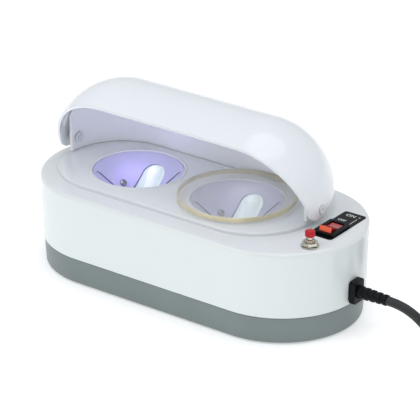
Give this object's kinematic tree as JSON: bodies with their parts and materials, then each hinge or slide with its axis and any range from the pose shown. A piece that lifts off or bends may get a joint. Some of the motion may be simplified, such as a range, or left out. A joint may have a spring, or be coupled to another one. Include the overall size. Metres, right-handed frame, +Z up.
{
  "type": "uv sterilizer cabinet",
  "caption": "Oblong white housing on a grey tray with lamp wells under a swing-up hood, a loose clear cover disc, rocker switch, push button and coiled mains lead.",
  "frame": {"origin": "on the surface it stands on, under the middle of the housing", "axes": "+X to the right along the length, towards the switch and the mains inlet, -Y to the user, +Z up"},
  "size_m": [0.3828, 0.188, 0.1276],
  "materials": {
    "white": "glossy white with a faint lilac cast",
    "grey": "satin grey",
    "reflector": "satin, pale violet under the lamp",
    "lamp_glass": "frosted, glowing white",
    "ceramic": "matt off-white",
    "clear": "clear polished disc, yellow at its edge",
    "black": "satin black",
    "label": "dark print film with white lettering",
    "red": "glossy red",
    "amber": "translucent glossy red",
    "nickel": "polished nickel",
    "steel": "zinc plated",
    "brass": "plain",
    "rubber": "matt black",
    "board": "green solder mask",
    "ferrite": "matt dark grey",
    "nylon": "satin white",
    "wire": "matt red insulation",
    "terminal_grey": "satin grey"
  },
  "bodies": {
    "housing": {"upper_housing": "white", "rear_shell": "white", "base_tray": "grey", "foot_1": "rubber", "foot_2": "rubber", "foot_3": "rubber", "foot_4": "rubber", "power_cord": "rubber", "cord_tail": "rubber", "cord_coil": "rubber", "tray_screw_1": "steel", "tray_screw_2": "steel", "tray_screw_3": "steel", "tray_screw_4": "steel", "cup_screw_left": "steel", "cup_screw_right": "steel", "button_spring": "steel", "board_screw_1": "steel", "board_screw_2": "steel", "retaining_clip_right": "nylon", "retaining_clip_left": "nylon", "pivot_pin_right": "nylon", "pivot_bush_right": "nylon", "pivot_pin_left": "nylon", "pivot_bush_left": "nylon", "reflector_cup_left": "reflector", "reflector_cup_right": "reflector", "lamp_tube_left": "lamp_glass", "lamp_tube_right": "lamp_glass", "lamp_base_left": "ceramic", "lamp_base_right": "ceramic", "lamp_socket_left": "black", "lamp_socket_right": "black", "switch_body": "black", "power_inlet": "black", "electrolytic_capacitor": "black", "appliance_connector": "black", "strain_relief": "black", "mains_plug": "black", "switch_label": "label", "switch_terminal_1": "brass", "switch_terminal_2": "brass", "button_washer": "nickel", "button_nut": "nickel", "button_bushing": "nickel", "plug_pin_1": "nickel", "plug_pin_2": "nickel", "driver_board": "board", "choke": "ferrite", "terminal_block": "terminal_grey", "lamp_lead_left": "wire", "lamp_lead_right": "wire", "switch_wire": "wire", "neutral_wire": "wire", "live_wire": "wire"},
    "visor": {"visor": "white"},
    "cover": {"cover_disc": "clear"},
    "rocker": {"rocker": "amber"},
    "button": {"button_plunger": "nickel", "button_cap": "red"}
  },
  "joints": [
    {"name": "visor_hinge", "type": "hinge", "parent": "housing", "child": "visor", "pos_m": [-0.0115, 0.0034, 0.0772], "axis": [1, 0, 0], "range_deg": [0, 67]},
    {"name": "cover_slide", "type": "slide", "parent": "housing", "child": "cover", "axis": [0, -0.9401, 0.341], "range_m": [0, 0.11]},
    {"name": "rocker_tilt", "type": "hinge", "parent": "housing", "child": "rocker", "pos_m": [0.1022, 0.0019, 0.0664], "axis": [1, 0, 0], "range_deg": [0, 30]},
    {"name": "button_press", "type": "slide", "parent": "housing", "child": "button", "axis": [0, 0, -1], "range_m": [0, 0.0016], "stiffness_N_per_m": 300, "deforming": ["button_spring"]}
  ]
}
